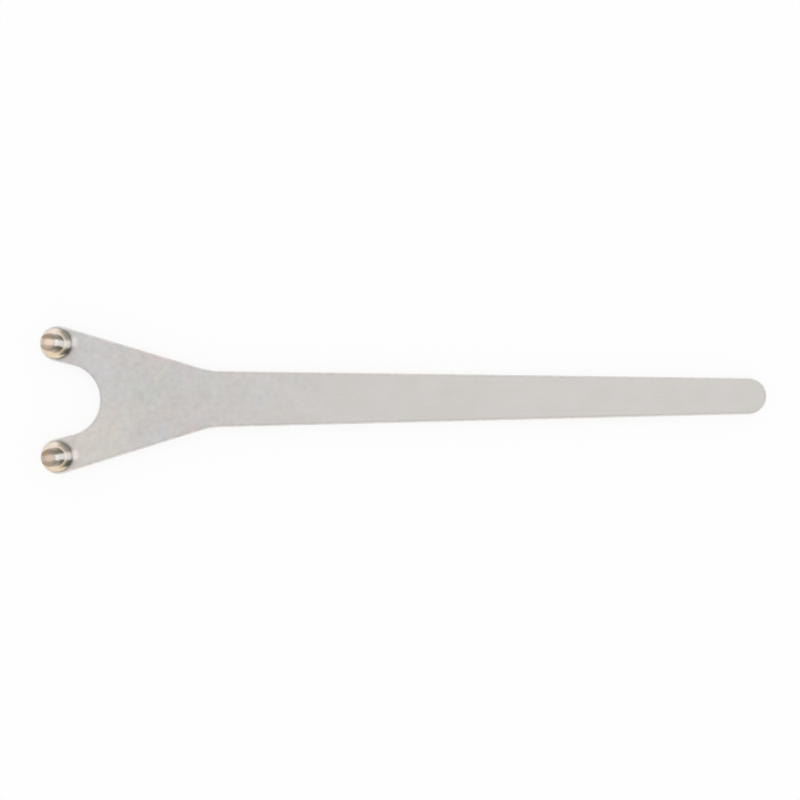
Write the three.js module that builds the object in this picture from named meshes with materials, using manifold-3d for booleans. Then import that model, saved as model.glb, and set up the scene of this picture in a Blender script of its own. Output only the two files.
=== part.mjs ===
// Face pin spanner: a flat forked steel plate with a tapering handle, and two shoulder pins riveted
// into its arms. Millimetres, +Z up. The tool lies on its flat back, at z = 0, with the pins standing
// up from its front face. +X runs from the fork to the end of the handle. The origin is in the middle
// of the length and of the width, on the back.
import * as THREE from "three";
import { mergeVertices } from "three/addons/utils/BufferGeometryUtils.js";
import Module from "manifold-3d";

// Driving dimensions of the plate
const plateThickness = 4;
const edgeRounding = 0.4; // rounding of the stamped edges, front and back
const pinPitch = 30; // between the centres of the two pins
const armEndRadius = 4.7; // round end of each arm, about its pin
const armSplayDegrees = 14; // between the inner edge of each arm and the middle line of the tool
const mouthOffset = 1.7; // from the line of the pins to the centre of the mouth's round bottom
const headLength = 40.4; // from the line of the pins to the shoulder where the handle starts
const shoulderBlend = 3; // length of the soft corner at the shoulder, on each side of it
const handleRootWidth = 15; // at the shoulder
const handleEndWidth = 9.6; // of the round end
const reach = 188.5; // from the line of the pins to the end of the handle

// Driving dimensions of a pin
const tipDiameter = 4.8; // for a nut's 5 mm holes
const tipLength = 6.5; // above the collar
const tipFlatDiameter = 1.2; // left on top of the domed end, which finds a nut's hole
const collarDiameter = 8;
const collarHeight = 1.5;
const collarChamfer = 0.25;
const shankDiameter = 5; // in the plate
const rivetHeadSpread = 1.2; // how far the peened head spreads past the shank, and its depth in the back
const rivetHeadRecess = 0.15; // how far the dressed head lies below the back face
const rivetClearance = 0.05; // between the shank and its hole, all round

// Fineness of the round stretches
const outlineArcSteps = 28;
const edgeRoundingSteps = 2;
const pinSides = 48;
const domeSteps = 8;

// Places worked out from the dimensions
const armSplay = THREE.MathUtils.degToRad(armSplayDegrees);
const armEdgeFromMiddle = (pinPitch / 2) * Math.cos(armSplay) - armEndRadius; // from midway between the pins
const mouthRadius = armEdgeFromMiddle - mouthOffset * Math.sin(armSplay); // touches both inner edges
const pinLineX = -(reach - armEndRadius) / 2;
const collarTop = plateThickness + collarHeight;
const tipTop = collarTop + tipLength;

const wasm = await Module();
wasm.setup();

// A closed geometry as a solid that can be cut.
function solidFrom(geometry) {
  const bare = geometry.clone();
  bare.deleteAttribute("normal");
  bare.deleteAttribute("uv");
  const merged = mergeVertices(bare);
  return new wasm.Manifold(
    new wasm.Mesh({
      numProp: 3,
      vertProperties: new Float32Array(merged.attributes.position.array),
      triVerts: new Uint32Array(merged.index.array),
    }),
  );
}

// A cut solid as a geometry that can be drawn.
function geometryFrom(solid) {
  const mesh = solid.getMesh();
  const geometry = new THREE.BufferGeometry();
  geometry.setAttribute("position", new THREE.BufferAttribute(mesh.vertProperties, mesh.numProp));
  geometry.setIndex(new THREE.BufferAttribute(mesh.triVerts, 1));
  geometry.computeVertexNormals();
  return geometry;
}

// A profile of [radius, height] points turned about the Z axis.
function turned(profile) {
  const points = profile.map(([radius, height]) => new THREE.Vector2(radius, height));
  return new THREE.LatheGeometry(points, pinSides).rotateX(Math.PI / 2);
}

// The angle on a circle where a line from an outside point touches it. Seen from the centre, side 1 is
// to the left of the point and side -1 to its right.
function tangentAngle(centre, radius, point, side) {
  const toPoint = point.clone().sub(centre);
  return toPoint.angle() + side * Math.acos(radius / toPoint.length());
}

// The point on a circle at an angle.
function onCircle(centre, radius, angle) {
  return new THREE.Vector2(Math.cos(angle), Math.sin(angle)).multiplyScalar(radius).add(centre);
}

// A point at a distance from one point towards another.
function towards(from, to, distance) {
  return to.clone().sub(from).setLength(distance).add(from);
}

const mirrored = (point) => new THREE.Vector2(point.x, -point.y);

// The plate seen from the front, with the line of the pins on x = 0. It runs anticlockwise, from the
// round end of the handle.
function plateOutline() {
  const armCentre = new THREE.Vector2(0, pinPitch / 2);
  const shoulder = new THREE.Vector2(headLength, handleRootWidth / 2);
  const endRadius = handleEndWidth / 2;
  const endCentre = new THREE.Vector2(reach - endRadius, 0);

  const mouthAngle = Math.PI / 2 - armSplay; // where the round bottom meets an inner edge
  const flankAngle = tangentAngle(armCentre, armEndRadius, shoulder, 1);
  const handleAngle = tangentAngle(endCentre, endRadius, shoulder, -1);
  const flankStart = onCircle(armCentre, armEndRadius, flankAngle);
  const handleStart = onCircle(endCentre, endRadius, handleAngle);
  const blendOnHandle = towards(shoulder, handleStart, shoulderBlend);
  const blendOnFlank = towards(shoulder, flankStart, shoulderBlend);

  const lowerArm = mirrored(armCentre);
  const lowerFlankAngle = 2 * Math.PI - flankAngle;
  const lowerShoulder = mirrored(shoulder);
  const lowerBlendOnFlank = mirrored(blendOnFlank);
  const lowerBlendOnHandle = mirrored(blendOnHandle);

  const outline = new THREE.Shape();
  outline.absarc(endCentre.x, endCentre.y, endRadius, -handleAngle, handleAngle, false);
  outline.lineTo(blendOnHandle.x, blendOnHandle.y);
  outline.quadraticCurveTo(shoulder.x, shoulder.y, blendOnFlank.x, blendOnFlank.y);
  outline.absarc(armCentre.x, armCentre.y, armEndRadius, flankAngle, Math.PI + mouthAngle, false);
  outline.absarc(mouthOffset, 0, mouthRadius, mouthAngle, -mouthAngle, true);
  outline.absarc(lowerArm.x, lowerArm.y, armEndRadius, Math.PI - mouthAngle, lowerFlankAngle, false);
  outline.lineTo(lowerBlendOnFlank.x, lowerBlendOnFlank.y);
  outline.quadraticCurveTo(lowerShoulder.x, lowerShoulder.y, lowerBlendOnHandle.x, lowerBlendOnHandle.y);
  outline.closePath();
  return outline;
}

// Profile of the riveted end, from the spread head at the back up through the shank. The gap widens it
// all round, for the hole.
function rivetedEnd(bottom, top, gap) {
  const shankRadius = shankDiameter / 2 + gap;
  return [
    [shankRadius + rivetHeadSpread - bottom, bottom],
    [shankRadius, rivetHeadSpread],
    [shankRadius, top],
  ];
}

// The stamped plate, drilled for the pins and countersunk at the back.
function plateGeometry() {
  const blank = new THREE.ExtrudeGeometry(plateOutline(), {
    depth: plateThickness - 2 * edgeRounding,
    curveSegments: outlineArcSteps,
    bevelThickness: edgeRounding,
    bevelSize: edgeRounding,
    bevelOffset: -edgeRounding,
    bevelSegments: edgeRoundingSteps,
  });
  blank.translate(0, 0, edgeRounding);

  const drillBottom = -plateThickness; // past the back face
  const drillTop = 2 * plateThickness; // past the front face
  const seat = rivetedEnd(drillBottom, drillTop, rivetClearance);
  const drill = turned([[0, drillBottom], ...seat, [0, drillTop]]);
  let plate = solidFrom(blank);
  for (const side of [1, -1]) {
    const hole = drill.clone().translate(0, (side * pinPitch) / 2, 0);
    plate = plate.subtract(solidFrom(hole));
  }
  return geometryFrom(plate);
}

// A turned pin: domed tip, collar that seats on the front face, shank, and the peened head in the back.
function pinGeometry() {
  const tipRadius = tipDiameter / 2;
  const collarRadius = collarDiameter / 2;
  const flatRadius = tipFlatDiameter / 2;
  const rounding = tipRadius - flatRadius;
  const dome = [];
  for (let step = 0; step <= domeSteps; step += 1) {
    const angle = (step / domeSteps) * (Math.PI / 2);
    dome.push([
      flatRadius + rounding * Math.cos(angle),
      tipTop - rounding + rounding * Math.sin(angle),
    ]);
  }
  return turned([
    [0, rivetHeadRecess],
    ...rivetedEnd(rivetHeadRecess, plateThickness, 0),
    [collarRadius, plateThickness],
    [collarRadius, collarTop - collarChamfer],
    [collarRadius - collarChamfer, collarTop],
    [tipRadius, collarTop],
    ...dome,
    [0, tipTop],
  ]);
}

const platedSteel = new THREE.MeshStandardMaterial({ color: 0xcbc9c6, roughness: 0.45, metalness: 0.7 });
const turnedSteel = new THREE.MeshStandardMaterial({ color: 0xa89d88, roughness: 0.25, metalness: 1 });

const spanner = new THREE.Group();
const fork = new THREE.Group();
fork.position.x = pinLineX;
spanner.add(fork);

const forkBody = new THREE.Mesh(plateGeometry(), platedSteel);
forkBody.name = "fork_body";
fork.add(forkBody);

for (const [name, side] of [["right_drive_pin", 1], ["left_drive_pin", -1]]) {
  const pin = new THREE.Mesh(pinGeometry(), turnedSteel);
  pin.name = name;
  pin.position.y = (side * pinPitch) / 2;
  fork.add(pin);
}

export default spanner;
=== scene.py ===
import math

import bmesh
import bpy
from mathutils import Matrix, Vector, noise


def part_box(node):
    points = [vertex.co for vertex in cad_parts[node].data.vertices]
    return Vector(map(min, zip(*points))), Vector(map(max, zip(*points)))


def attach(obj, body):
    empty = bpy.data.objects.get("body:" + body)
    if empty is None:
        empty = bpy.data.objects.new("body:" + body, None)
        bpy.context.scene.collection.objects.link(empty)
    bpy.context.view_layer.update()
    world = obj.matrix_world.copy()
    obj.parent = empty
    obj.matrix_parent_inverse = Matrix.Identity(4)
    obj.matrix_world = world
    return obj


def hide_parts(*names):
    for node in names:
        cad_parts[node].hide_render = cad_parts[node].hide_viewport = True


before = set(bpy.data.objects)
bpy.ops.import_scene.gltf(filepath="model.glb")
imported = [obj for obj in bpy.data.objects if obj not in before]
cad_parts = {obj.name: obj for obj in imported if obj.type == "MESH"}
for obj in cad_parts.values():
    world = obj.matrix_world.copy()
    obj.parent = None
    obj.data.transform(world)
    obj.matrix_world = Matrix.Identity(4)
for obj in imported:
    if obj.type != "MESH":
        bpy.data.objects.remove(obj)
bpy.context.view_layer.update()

# Fork body: one blank punched from 4 mm steel strip, tumbled until its edges are soft, and zinc plated
# to a pale satin grey. Each arm is drilled for its pin, and countersunk at the back for the pin's
# riveted head.
mm = 0.001
plate_low, plate_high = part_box("fork_body")
pin_low, pin_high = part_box("right_drive_pin")
plate_top = plate_high.z
pin_x = (pin_low.x + pin_high.x) / 2
pin_y = (pin_low.y + pin_high.y) / 2
collar_radius = (pin_high.x - pin_low.x) / 2
arm_end = Vector((pin_x, pin_y, 0))
arm_end_radius = pin_x - plate_low.x
arm_splay = math.radians(14)
mouth_offset = 1.7 * mm
mouth_bottom = Vector((pin_x + mouth_offset, 0, 0))
mouth_radius = pin_y * math.cos(arm_splay) - arm_end_radius - mouth_offset * math.sin(arm_splay)
head_length = 40.4 * mm
handle_root_width = 15 * mm
handle_end_width = 9.6 * mm
handle_end_radius = handle_end_width / 2
handle_end = Vector((plate_high.x - handle_end_radius, 0, 0))
shoulder = Vector((pin_x + head_length, handle_root_width / 2, 0))
shoulder_blend = 3 * mm
front_rounding = 0.75 * mm
back_rounding = 0.3 * mm
shear_line = 1.7 * mm
die_break = 0.1 * mm
hole_radius = 2.55 * mm
countersink = 1.2 * mm

handle_end_steps = 24
shoulder_steps = 10
arm_end_steps = 40
mouth_steps = 32
hole_steps = 64
front_rounding_steps = 6
back_rounding_steps = 4
same_place = 0.001 * mm


def direction(angle):
    return Vector((math.cos(angle), math.sin(angle), 0))


def touching_angle(centre, radius, point, side):
    """Where a line from the point touches the circle: on its left, seen from the centre, for side 1."""
    reach = point - centre
    return math.atan2(reach.y, reach.x) + side * math.acos(radius / reach.length)


def add_arc(mesh, centre, radius, start, end, steps):
    """Spins one vertex about the centre, and returns the first and the last vertex of the arc."""
    first = mesh.verts.new(centre + radius * direction(start))
    spun = bmesh.ops.spin(
        mesh, geom=[first], cent=centre, axis=(0, 0, 1), angle=end - start, steps=steps
    )
    last = next(part for part in spun["geom_last"] if isinstance(part, bmesh.types.BMVert))
    return first, last


def at_height(vert, height):
    return abs(vert.co.z - height) < same_place


def flat_at(part, height):
    return all(at_height(vert, height) for vert in part.verts)


def bevel(mesh, edges, size, steps):
    bmesh.ops.bevel(
        mesh, geom=edges, offset=size, offset_type="OFFSET", affect="EDGES",
        segments=steps, profile=0.5, material=-1,
    )


# Half of the outline, from the end of the handle round to the bottom of the mouth.
flank_angle = touching_angle(arm_end, arm_end_radius, shoulder, 1)
handle_angle = touching_angle(handle_end, handle_end_radius, shoulder, -1)
mouth_angle = math.pi / 2 - arm_splay
blend_radius = shoulder_blend / math.tan((handle_angle - flank_angle) / 2)
blend_start = shoulder + shoulder_blend * direction(handle_angle - math.pi / 2)
blend_centre = blend_start + blend_radius * direction(handle_angle)
blend_from = handle_angle + math.pi
blend_to = flank_angle + math.pi

plate = bmesh.new()
arcs = [
    add_arc(plate, handle_end, handle_end_radius, 0, handle_angle, handle_end_steps),
    add_arc(plate, blend_centre, blend_radius, blend_from, blend_to, shoulder_steps),
    add_arc(plate, arm_end, arm_end_radius, flank_angle, mouth_angle + math.pi, arm_end_steps),
    add_arc(plate, mouth_bottom, mouth_radius, mouth_angle, 0, mouth_steps),
]
for (_, leaving), (arriving, _) in zip(arcs, arcs[1:]):
    plate.edges.new((leaving, arriving))
bmesh.ops.mirror(plate, geom=plate.verts[:] + plate.edges[:], axis="Y", merge_dist=same_place)
blank = bmesh.ops.contextual_create(plate, geom=plate.edges[:])["faces"]
raised = bmesh.ops.extrude_face_region(plate, geom=blank)["geom"]
raised_verts = [part for part in raised if isinstance(part, bmesh.types.BMVert)]
bmesh.ops.translate(plate, verts=raised_verts, vec=(0, 0, plate_top))
bmesh.ops.recalc_face_normals(plate, faces=plate.faces[:])

# The punch leaves the upper wall upright, and the lower wall breaks away towards the die.
bmesh.ops.bisect_plane(
    plate, geom=plate.verts[:] + plate.edges[:] + plate.faces[:],
    plane_co=(0, 0, shear_line), plane_no=(0, 0, 1),
)
plate.normal_update()
for vert in plate.verts:
    if at_height(vert, 0):
        walls = [face.normal for face in vert.link_faces if not flat_at(face, 0)]
        vert.co -= die_break * sum(walls, Vector()).normalized()

front_edges = [edge for edge in plate.edges if flat_at(edge, plate_top)]
bevel(plate, front_edges, front_rounding, front_rounding_steps)
back_edges = [edge for edge in plate.edges if flat_at(edge, 0)]
bevel(plate, back_edges, back_rounding, back_rounding_steps)


def add_ring(mesh, side, radius, height):
    """Adds a circle about a pin's axis, and returns its edges."""
    centre = Matrix.Translation((pin_x, side * pin_y, height))
    ring = bmesh.ops.create_circle(mesh, radius=radius, segments=hole_steps, matrix=centre)
    return list(dict.fromkeys(edge for vert in ring["verts"] for edge in vert.link_edges))


fronts, necks, backs = [
    [add_ring(plate, side, radius, height) for side in (1, -1)]
    for radius, height in (
        (hole_radius, plate_top),
        (hole_radius, countersink),
        (hole_radius + countersink, 0),
    )
]
for height, rings in ((plate_top, fronts), (0, backs)):
    cap = next(face for face in plate.faces if flat_at(face, height))
    rim = cap.edges[:]
    bmesh.ops.delete(plate, geom=[cap], context="FACES_ONLY")
    bmesh.ops.triangle_fill(plate, use_beauty=True, edges=rim + rings[0] + rings[1])
for front, neck, back in zip(fronts, necks, backs):
    bmesh.ops.bridge_loops(plate, edges=front + neck)
    bmesh.ops.bridge_loops(plate, edges=neck + back)


class Shade:
    """A shader socket. Python's operators on shades and numbers add the Math nodes they stand for."""

    def __init__(self, socket):
        self.socket = socket

    def node(self, kind, settings=None, inputs=None, output=0):
        """Adds a node to this shade's tree: first its settings, then its sockets' values or links."""
        tree = self.socket.id_data
        added = tree.nodes.new(kind)
        for name, value in (settings or {}).items():
            setattr(added, name, value)
        for name, value in (inputs or {}).items():
            named = [socket for socket in added.inputs if socket.enabled and socket.name == name]
            socket = named[0] if named else added.inputs[name]
            if isinstance(value, Shade):
                tree.links.new(value.socket, socket)
            elif socket.type == "RGBA":
                socket.default_value = (*value, 1)
            else:
                socket.default_value = value
        outputs = [socket for socket in added.outputs if socket.enabled]
        named = [socket for socket in outputs if socket.name == output]
        return Shade(named[0] if named else outputs[output])

    def math(self, operation, first, second=0.0):
        return self.node("ShaderNodeMath", {"operation": operation}, {0: first, 1: second})

    def __add__(self, other):
        return self.math("ADD", self, other)

    __radd__ = __add__

    def __sub__(self, other):
        return self.math("SUBTRACT", self, other)

    def __rsub__(self, other):
        return self.math("SUBTRACT", other, self)

    def __mul__(self, other):
        return self.math("MULTIPLY", self, other)

    __rmul__ = __mul__

    def __truediv__(self, other):
        return self.math("DIVIDE", self, other)

    def __pow__(self, other):
        return self.math("POWER", self, other)

    def __abs__(self):
        return self.math("ABSOLUTE", self)

    def at_least(self, other):
        return self.math("MAXIMUM", self, other)

    def rise(self, low, high):
        """0 up to the first value and 1 from the second, with a soft step between."""
        return self.node(
            "ShaderNodeMapRange", {"interpolation_type": "SMOOTHSTEP"},
            {"Value": self, "From Min": low, "From Max": high},
        )

    def swing(self, amount):
        """A pattern from 0 to 1 made to swing about 0, by half of the amount each way."""
        return (self - 0.5) * amount

    def wave(self):
        """A smooth wave from 0 to 1, one to each whole step of this value."""
        return self.math("SINE", self * (2 * math.pi)) * 0.5 + 0.5

    def axes(self):
        split = self.node("ShaderNodeSeparateXYZ", inputs={"Vector": self}).socket.node
        return [Shade(output) for output in split.outputs]

    def blend(self, first, second):
        """The first colour where this shade is 0, and the second where it is 1."""
        return self.node(
            "ShaderNodeMix", {"data_type": "RGBA"}, {"Factor": self, "A": first, "B": second}
        )

    def scaled(self, amount):
        """This colour, made lighter or darker."""
        return self.node(
            "ShaderNodeVectorMath", {"operation": "SCALE"}, {"Vector": self, "Scale": amount}
        )

    def laid(self, size, turn=0.0, centre=(0, 0, 0)):
        """These coordinates in units of a size, turned about the upright axis, from a centre."""
        return self.node(
            "ShaderNodeMapping", {"vector_type": "TEXTURE"},
            {"Vector": self, "Location": centre, "Rotation": (0, 0, turn), "Scale": size},
        )

    def clouds(self, detail):
        return self.node("ShaderNodeTexNoise", inputs={"Vector": self, "Scale": 1.0, "Detail": detail})

    def speckle(self):
        """Distance to the nearest of many scattered points."""
        return self.node("ShaderNodeTexVoronoi", inputs={"Vector": self, "Scale": 1.0})


def cube(size):
    return (size, size, size)


def new_finish(name):
    """An empty material, and the socket that its surface goes to."""
    material = bpy.data.materials.new(name)
    material.use_nodes = True
    material.node_tree.nodes.clear()
    output = material.node_tree.nodes.new("ShaderNodeOutputMaterial")
    return material, Shade(output.inputs["Surface"])


def connect(surface, shader):
    surface.socket.id_data.links.new(shader.socket, surface.socket)


zinc_grey = (0.591, 0.567, 0.543)
zinc_warm = (0.580, 0.548, 0.517)
zinc_cool = (0.543, 0.540, 0.545)
zinc_rose = (0.580, 0.530, 0.522)
zinc_sage = (0.548, 0.548, 0.522)
zinc_straw = (0.600, 0.555, 0.507)
zinc_metal = 0.9
passivated_least = 0.15
arm_tinge = 0.5
stain_shift = (0.3, 0, 0)
passivation_shift = (0, 0.2, 0)
scratch_patch = 11 * mm
linish_turn = 0.25
break_waver = 0.9 * mm
break_softness = 0.2 * mm
painted_shade_reach = 0.75 * mm
painted_light_offset = 0.4 * mm

zinc, zinc_surface = new_finish("satin_zinc")
place = zinc_surface.node("ShaderNodeTexCoord", output="Object")
along, across, height = place.axes()
past_pin = along - pin_x
pin_distance = (past_pin ** 2 + (abs(across) - pin_y) ** 2) ** 0.5

# Facing is 1 on the front, 0 on the upright walls and -1 on the back.
facing = place.node("ShaderNodeTexCoord", output="Normal").axes()[2]
upright = abs(facing).rise(0.5, 0.2)
rounded = abs(facing).rise(0.995, 0.9) * (1 - upright)
at_front = facing.rise(0.9, 0.95)
at_back = facing.rise(-0.6, -0.9)

# The plating clouds over towards the head, and the handle pales towards its end.
head = along.rise(5 * mm, -75 * mm)
arms = along.rise(-66 * mm, -82 * mm)
to_handle_end = along.rise(-25 * mm, 95 * mm)
to_right_arm = across.rise(-8 * mm, 8 * mm)
# Painted light: the left arm is made lighter, as the side that the light falls on.
painted_light_left_arm = across.rise(6 * mm, -16 * mm)

mottle = place.laid(cube(6 * mm)).clouds(detail=3)
stain = place.laid(cube(8 * mm), centre=stain_shift).clouds(detail=2)
passivation = place.laid(cube(5 * mm), centre=passivation_shift).clouds(detail=1)
bloom = place.laid(cube(1.5 * mm)).clouds(detail=2)
grain = place.laid(cube(0.35 * mm)).clouds(detail=2)
crumble = place.laid(cube(0.18 * mm)).clouds(detail=3)
streaks = place.laid((60 * mm, 0.5 * mm, 0.5 * mm)).clouds(detail=3)
drag_lines = place.laid((0.12 * mm, 0.12 * mm, 5 * mm)).clouds(detail=2)
linish_lines = place.laid((0.1 * mm, 14 * mm, 5 * mm), linish_turn).clouds(detail=2)
break_steps = place.laid((0.8 * mm, 0.8 * mm, 90 * mm)).clouds(detail=4)


def scratches(length, width, turn, share):
    """Hair lines in one direction, over a part of the surface that clouds pick out."""
    lines = place.laid((length, width, width), turn).clouds(detail=1).rise(0.68, 0.74)
    patches = place.laid(cube(scratch_patch), turn).clouds(detail=1).rise(1 - share, 1.1 - share)
    return lines * patches


hair_lines = (
    scratches(length=16 * mm, width=0.14 * mm, turn=0.35, share=0.5)
    .at_least(scratches(length=11 * mm, width=0.12 * mm, turn=-0.5, share=0.45))
    .at_least(scratches(length=7 * mm, width=0.12 * mm, turn=1.3, share=0.4))
)
dings = place.laid(cube(8 * mm)).speckle().rise(0.06, 0.0) * (1 - upright)
break_height = shear_line + break_steps.swing(break_waver)
broken = upright * (break_height - height).rise(-break_softness, break_softness)
burnished = upright - broken
edge_rub = rounded * (bloom * 0.6 + grain * 0.4).rise(0.36, 0.62)
linished = at_back * pin_distance.rise(8.5 * mm, 6 * mm)

# Painted light lifts the plate beside each collar, and painted shade darkens the corner all round it.
painted_light_along = past_pin.rise(2.5 * mm, 3.5 * mm) * past_pin.rise(6.2 * mm, 4.2 * mm)
painted_light_across = abs(abs(across - painted_light_offset) - pin_y).rise(1.9 * mm, 0.5 * mm)
painted_light_by_collar = at_front * painted_light_along * painted_light_across
painted_shade_round_collar = at_front * pin_distance.rise(collar_radius + painted_shade_reach, collar_radius) * (1 - painted_light_by_collar)

tint = mottle.rise(0.32, 0.68).blend(zinc_cool, zinc_warm)
blush = stain.rise(0.35, 0.65).blend(zinc_sage, zinc_rose)
passivated = passivation.rise(0.35, 0.65).blend(tint, blush)
zinc_colour = (passivated_least + (1 - passivated_least) * head).blend(zinc_grey, passivated)
arm_tint = to_right_arm.blend(zinc_straw, zinc_cool)
zinc_colour = (arms * arm_tinge).blend(zinc_colour, arm_tint)
lightness = (
    1
    + bloom.swing(0.04 + 0.26 * head)
    + streaks.swing(0.1 - 0.05 * head)
    + grain.swing(0.06)
    + hair_lines * 0.07
    # partly the brighter burnish of tumbled edges, partly a painted highlight that lifts the edges'
    # darker reflection
    + rounded * 0.22
    + edge_rub * 0.12
    - dings * 0.04
    - broken * (0.02 + 0.28 * crumble)
    + burnished * drag_lines.swing(0.3)
    + linished * (0.08 + linish_lines.swing(0.3))
    # painted shade round each collar, and painted light beside it
    - painted_shade_round_collar * 0.12
    + painted_light_by_collar * 0.45
    # painted light on the left arm
    + arms * (0.055 + 0.04 * painted_light_left_arm)
    + to_handle_end * 0.037
)
zinc_roughness = (
    0.44
    + mottle.swing(0.16)
    + grain.swing(0.1)
    - hair_lines * 0.08
    - edge_rub * 0.14
    - burnished * 0.1
    + broken * 0.14
    - linished * 0.1
    + painted_shade_round_collar * 0.15
    - painted_light_by_collar * 0.08
)
relief = (
    mottle * 0.02
    + grain * 0.006
    + streaks * 0.006 * (1 - upright)
    - hair_lines * 0.006
    - dings * 0.02
    + broken * crumble * 0.05
    + burnished * drag_lines * 0.02
    + linished * linish_lines * 0.02
)
connect(zinc_surface, place.node("ShaderNodeBsdfPrincipled", inputs={
    "Base Color": zinc_colour.scaled(lightness),
    "Roughness": zinc_roughness,
    "Metallic": zinc_metal,
    "Normal": place.node("ShaderNodeBump", inputs={"Height": relief, "Distance": mm}),
}))

sharp_corner = math.radians(35)


def add_piece(name, mesh, finish):
    """Closes the mesh and makes it the piece that stands for the CAD node of its name."""
    bmesh.ops.remove_doubles(mesh, verts=mesh.verts[:], dist=same_place)
    bmesh.ops.recalc_face_normals(mesh, faces=mesh.faces[:])
    for face in mesh.faces:
        face.smooth = True
    for edge in mesh.edges:
        edge.smooth = edge.calc_face_angle() < sharp_corner
    data = bpy.data.meshes.new(name)
    mesh.to_mesh(data)
    mesh.free()
    data.materials.append(finish)
    piece = bpy.data.objects.new(name + "_finished", data)
    bpy.context.scene.collection.objects.link(piece)
    normals = piece.modifiers.new("flat faces stay flat", "WEIGHTED_NORMAL")
    normals.keep_sharp = True
    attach(piece, "root")
    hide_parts(name)


add_piece("fork_body", plate, zinc)

# Drive pins: shoulder pins turned from steel rod and hardened. Their straw, brown and olive colours are
# painted reflections and painted shade, which stand in for polished steel mirroring a warm room. The
# collar seats on the plate, the shank goes through the arm, and its end is hammered over into the
# countersink.
tip_top = pin_high.z
tip_radius = 2.4 * mm
tip_rounding = 1.8 * mm
collar_top = plate_top + 1.5 * mm
collar_edge = 0.25 * mm
collar_foot_edge = 0.12 * mm
root_fillet = 0.2 * mm
shank_radius = 2.5 * mm
head_recess = pin_low.z
head_radius = shank_radius + countersink - head_recess
head_ring_shares = (0.88, 0.7, 0.52, 0.34, 0.17, 0)
hammered_share = 0.95
hammer_blow = 1.5 * mm
hammer_depth = 0.12 * mm
turning_pitch = 0.14 * mm

turn_steps = 96
tip_rounding_steps = 12
root_fillet_steps = 4
collar_edge_steps = 3
collar_foot_steps = 2

highlight_white = (0.97, 0.96, 0.93)
reflected_peach = (0.75, 0.61, 0.50)
reflected_tan = (0.61, 0.50, 0.40)
reflected_straw = (0.85, 0.70, 0.50)
reflected_cream = (0.88, 0.77, 0.68)
reflected_brown = (0.41, 0.24, 0.13)
reflected_grey = (0.26, 0.245, 0.19)
shade_olive = (0.10, 0.105, 0.08)
temper_head = (0.59, 0.56, 0.51)
temper_seam = (0.48, 0.43, 0.36)
temper_metal = 0.9
highlight_metal_loss = 0.85


def ring_edges(mesh, centre, radius, height):
    def on_ring(vert):
        from_axis = (vert.co - centre).xy.length
        return at_height(vert, height) and abs(from_axis - radius) < same_place

    return [edge for edge in mesh.edges if on_ring(edge.verts[0]) and on_ring(edge.verts[1])]


def turned_pin(centre):
    """A pin spun from its profile, with its edges broken and its head hammered."""
    pin = bmesh.new()
    profile = [
        (0, tip_top),
        (tip_radius, tip_top),
        (tip_radius, collar_top),
        (collar_radius, collar_top),
        (collar_radius, plate_top),
        (shank_radius, plate_top),
        (shank_radius, countersink),
        (head_radius, head_recess),
    ]
    profile += [(head_radius * share, head_recess) for share in head_ring_shares]
    points = [pin.verts.new(centre + Vector((radius, 0, level))) for radius, level in profile]
    for start, end in zip(points, points[1:]):
        pin.edges.new((start, end))
    bmesh.ops.spin(
        pin, geom=pin.verts[:] + pin.edges[:], cent=centre, axis=(0, 0, 1),
        angle=2 * math.pi, steps=turn_steps, use_merge=True,
    )
    bmesh.ops.remove_doubles(pin, verts=pin.verts[:], dist=same_place)
    bmesh.ops.recalc_face_normals(pin, faces=pin.faces[:])
    for radius, level, size, steps in (
        (tip_radius, tip_top, tip_rounding, tip_rounding_steps),
        (tip_radius, collar_top, root_fillet, root_fillet_steps),
        (collar_radius, collar_top, collar_edge, collar_edge_steps),
        (collar_radius, plate_top, collar_foot_edge, collar_foot_steps),
    ):
        bevel(pin, ring_edges(pin, centre, radius, level), size, steps)
    for vert in pin.verts:
        from_axis = (vert.co - centre).xy.length
        if at_height(vert, head_recess) and from_axis < hammered_share * head_radius:
            blow, _ = noise.voronoi(vert.co / hammer_blow)
            vert.co.z += hammer_depth * (0.5 - blow[0])
    return pin


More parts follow.
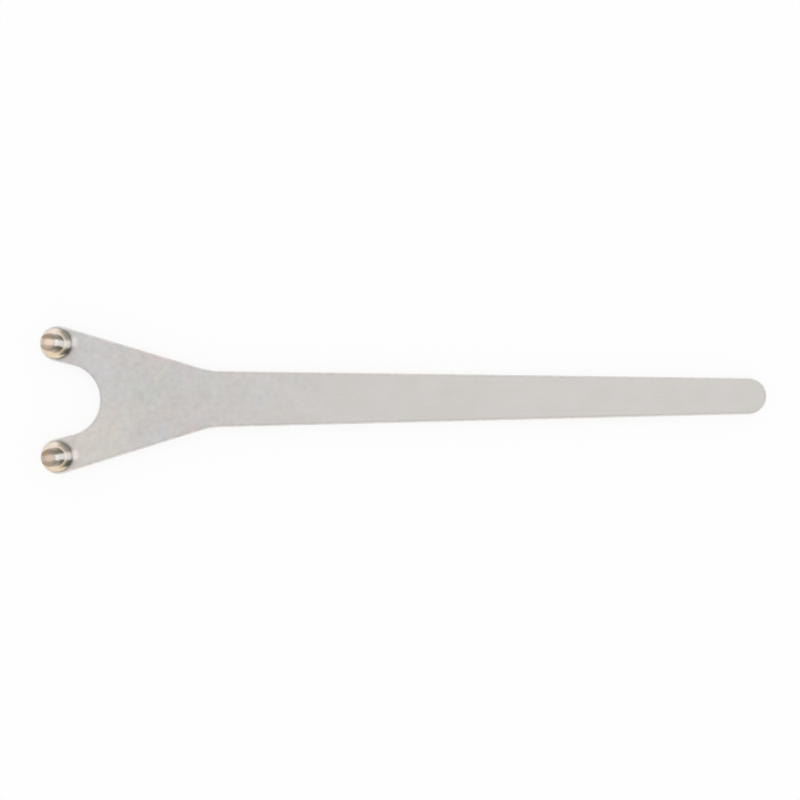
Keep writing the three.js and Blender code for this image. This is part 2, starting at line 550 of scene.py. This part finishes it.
def painted_reflections(name, centre, turn, shift, dome_colour):
    """Painted reflections and painted shade on polished steel, with a painted highlight stripe along x.
    """
    finish, surface = new_finish(name)
    from_pin = surface.node("ShaderNodeTexCoord", output="Object").laid(cube(1), turn, centre)
    x, y, z = from_pin.axes()
    radius = (x ** 2 + y ** 2) ** 0.5
    up = abs(from_pin.node("ShaderNodeTexCoord", output="Normal").axes()[2])
    wall = up.rise(0.6, 0.3)
    slope = up.rise(0.95, 0.6)
    tip = z.rise(collar_top + 0.05 * mm, collar_top + 0.3 * mm)
    collar = 1 - tip
    hammered = z.rise(countersink, 0.5 * countersink)

    shifted = from_pin.laid(cube(1), centre=(shift, 0, 0))
    smear = shifted.laid(cube(1.3 * mm)).clouds(detail=3)
    fine = shifted.laid(cube(0.25 * mm)).clouds(detail=2)
    drawn = shifted.laid((0.3 * mm, 0.3 * mm, 4 * mm)).clouds(detail=2)
    straw = (smear * 0.7 + fine * 0.3).rise(0.3, 0.62)
    groove = ((z * wall + radius * (1 - wall)) / turning_pitch).wave()
    blows = from_pin.laid(cube(hammer_blow)).speckle() + smear.swing(0.5) + fine.swing(0.4)
    dinted = blows.rise(0.9, 0.1) * radius.rise(head_radius, 0.9 * head_radius)

    # The painted highlight stripe runs forward, along x, and wavers, where a polished pin would reflect
    # the room. Painted dark reflection bands deepen on both sides of it.
    sideways = abs(y) + smear.swing(0.5 * mm) + drawn.swing(0.6 * mm)
    forward = x + smear.swing(0.8 * mm)
    flank = sideways.rise(0.45 * mm, 1.1 * mm)
    far_side = sideways.rise(1.6 * mm, 2.3 * mm)
    # Painted shade: the lower side, towards -y, is made darker, as the side away from the light.
    shaded_low_side = y.rise(1.5 * mm, -2.0 * mm)
    painted_highlight_stripe = (1 - flank) * tip * wall.at_least(slope * x.rise(1.2 * mm, 2.0 * mm))
    top_brown = 0.75 - 0.5 * shaded_low_side
    side_brown = 0.95
    # Painted dark reflection bands on the tip, on both sides of the highlight stripe.
    painted_dark_bands = tip * flank * (1 - 0.5 * far_side) * (top_brown + (side_brown - top_brown) * slope)
    brown = forward.rise(-1.4 * mm, 1.2 * mm).blend(reflected_brown, reflected_grey)

    # Painted shade lies on the front half of the collar, apart from where the painted highlight stripe
    # crosses it.
    collar_side = sideways.rise(0.5 * mm, 1.5 * mm)
    # Painted highlight where the stripe crosses the collar.
    painted_collar_highlight = 0.6 * collar * (1 - collar_side) * x.rise(0.8 * mm, 2.2 * mm)
    shade_front = forward.rise(-0.2 * mm, 2.2 * mm) * (0.75 + 0.25 * shaded_low_side)
    shade_end = (y + smear.swing(0.8 * mm)).rise(-3.5 * mm, -2.4 * mm)
    shade_rim = 0.3 + 0.7 * radius.rise(2.5 * mm, 3.5 * mm)
    shade_wall = wall * collar_side * (0.35 + 0.4 * smear)
    painted_collar_shade = collar * (shade_front * shade_end * shade_rim).at_least(shade_wall)

    collar_colour = (shaded_low_side * 0.8 + straw.swing(0.5)).blend(reflected_cream, reflected_straw)
    colour = tip.blend(collar_colour, dome_colour)
    colour = painted_dark_bands.blend(colour, brown)
    colour = painted_collar_shade.blend(colour, shade_olive)
    colour = painted_collar_highlight.at_least(painted_highlight_stripe).blend(colour, highlight_white)
    colour = hammered.blend(colour, dinted.blend(temper_seam, temper_head))
    lightness = 1 + groove.swing(0.12) + fine.swing(0.12) + drawn.swing(0.2) * wall
    roughness = 0.3 + smear.swing(0.16) + fine.swing(0.08) - painted_highlight_stripe * 0.06 + flank * 0.05
    turned_relief = groove * 0.008 + fine * 0.006 + drawn * wall * 0.008
    hammered_relief = fine * 0.02 - dinted * 0.06
    relief = turned_relief * (1 - hammered) + hammered_relief * hammered
    connect(surface, from_pin.node("ShaderNodeBsdfPrincipled", inputs={
        "Base Color": colour.scaled(lightness),
        "Roughness": roughness,
        "Metallic": temper_metal - painted_highlight_stripe * highlight_metal_loss,
        "Normal": from_pin.node("ShaderNodeBump", inputs={"Height": relief, "Distance": mm}),
    }))
    return finish


# The painted highlight stripe is turned a little towards the middle of the tool, below the camera.
highlight_stripe_turn = math.radians(4)
pattern_shift = 0.02
# Each pin's dome gets its own painted reflection colour: peach on the right pin, tan on the left.
for pin_name, side, dome_colour in (
    ("right_drive_pin", 1, reflected_peach),
    ("left_drive_pin", -1, reflected_tan),
):
    pin_foot = Vector((pin_x, side * pin_y, 0))
    pin_finish = painted_reflections(
        pin_name + "_painted_reflections", pin_foot, -side * highlight_stripe_turn, side * pattern_shift, dome_colour
    )
    add_piece(pin_name, turned_pin(pin_foot), pin_finish)

# Floor: a wide pale sheet just under the back of the tool. The camera and the metal see it almost
# white, it still takes the tool's soft shadow, and it shows nothing from below, so that the back can
# be looked at.
floor_reach = 3.0
floor_gap = 0.05 * mm
floor_pale = (0.93, 0.93, 0.93)
floor_white = (1, 1, 1)
floor_glow = 1.03
floor_glow_share = 0.8

floor_mesh = bmesh.new()
floor_place = Matrix.Translation((0, 0, -floor_gap))
bmesh.ops.create_grid(floor_mesh, x_segments=1, y_segments=1, size=floor_reach, matrix=floor_place)
floor_data = bpy.data.meshes.new("floor")
floor_mesh.to_mesh(floor_data)
floor_mesh.free()

pale, pale_surface = new_finish("pale_floor")
seen_white = (
    pale_surface.node("ShaderNodeLightPath", output="Is Camera Ray")
    .at_least(pale_surface.node("ShaderNodeLightPath", output="Is Glossy Ray"))
    .at_least(pale_surface.node("ShaderNodeLightPath", output="Is Transmission Ray"))
)
matt = pale_surface.node("ShaderNodeBsdfDiffuse", inputs={"Color": floor_pale})
glow = pale_surface.node("ShaderNodeEmission", inputs={"Color": floor_white, "Strength": floor_glow})
lit = pale_surface.node(
    "ShaderNodeMixShader", inputs={0: seen_white * floor_glow_share, 1: matt, 2: glow}
)
from_below = pale_surface.node("ShaderNodeNewGeometry", output="Backfacing")
clear = pale_surface.node("ShaderNodeBsdfTransparent")
connect(pale_surface, pale_surface.node(
    "ShaderNodeMixShader", inputs={0: from_below, 1: lit, 2: clear}
))
floor_data.materials.append(pale)
floor = bpy.data.objects.new("floor", floor_data)
bpy.context.scene.collection.objects.link(floor)

# Light: a white room whose walls dim upwards, so that the metal has something to reflect, and one large
# softbox that hangs over the whole tool and lights it evenly.
room_white = (1, 1, 1)
room_dimming = 0.35
softbox_length = 1.6
softbox_width = 1.2
softbox_power = 3.3
softbox_place = (0.1, 0.1, 1.0)

room = bpy.data.worlds.new("white_room")
room.use_nodes = True
room.node_tree.nodes.clear()
room_light = Shade(room.node_tree.nodes.new("ShaderNodeOutputWorld").inputs["Surface"])
upward = room_light.node("ShaderNodeTexCoord", output="Generated").axes()[2]
room_strength = 1.0 - room_dimming * upward.rise(0.2, 0.6)
connect(room_light, room_light.node(
    "ShaderNodeBackground", inputs={"Color": room_white, "Strength": room_strength}
))
bpy.context.scene.world = room

softbox_data = bpy.data.lights.new("softbox", "AREA")
softbox_data.shape = "RECTANGLE"
softbox_data.size = softbox_length
softbox_data.size_y = softbox_width
softbox_data.energy = softbox_power
softbox = bpy.data.objects.new("softbox", softbox_data)
softbox.location = softbox_place
bpy.context.scene.collection.objects.link(softbox)

# Camera: straight above the middle of the tool, at the distance where the tool nearly fills the picture's
# width, and turned a hair so that the handle rises to the right.
camera_place = (-0.9 * mm, -0.5 * mm, 299 * mm)
camera_turn = math.radians(-0.32)
camera_data = bpy.data.cameras.new("camera")
camera_data.lens = 50
camera_data.sensor_width = 36
camera_data.clip_start = 0.01
camera = bpy.data.objects.new("camera", camera_data)
camera.location = camera_place
camera.rotation_euler = (0, 0, camera_turn)
bpy.context.scene.collection.objects.link(camera)
bpy.context.scene.camera = camera
bpy.context.scene.view_settings.view_transform = "Standard"
